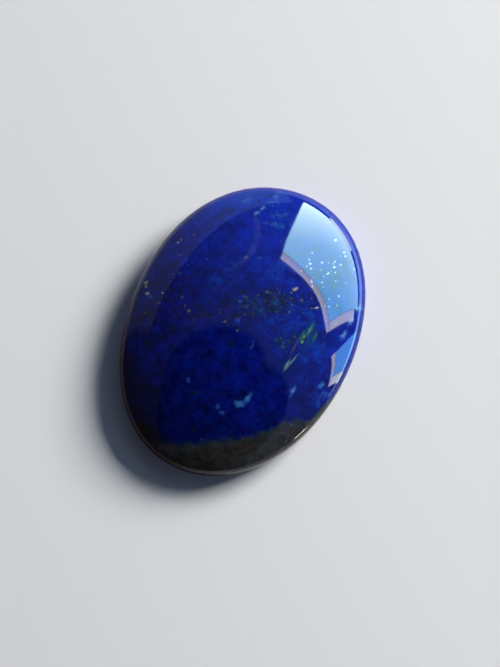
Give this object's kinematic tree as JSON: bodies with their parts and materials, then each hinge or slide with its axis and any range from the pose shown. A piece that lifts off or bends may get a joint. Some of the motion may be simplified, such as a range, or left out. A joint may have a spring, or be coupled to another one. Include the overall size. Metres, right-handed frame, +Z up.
{
  "type": "lapis lazuli cabochon",
  "caption": "Polished oval cabochon of deep blue lapis lazuli with pyrite flecks and a grey matrix end, low domed with a rounded rim and a flat ground back.",
  "frame": {"origin": "middle of the flat ground back", "axes": "+Z up through the crown of the dome, +Y along the stone away from its grey matrix end, +X across the stone"},
  "size_m": [0.0248, 0.034, 0.006],
  "materials": {
    "lapis": "polished ultramarine stone with pyrite flecks, pale calcite specks and grey matrix at one end, satin ground back"
  },
  "bodies": {
    "root": {"lapis_cabochon": "lapis"}
  },
  "joints": []
}
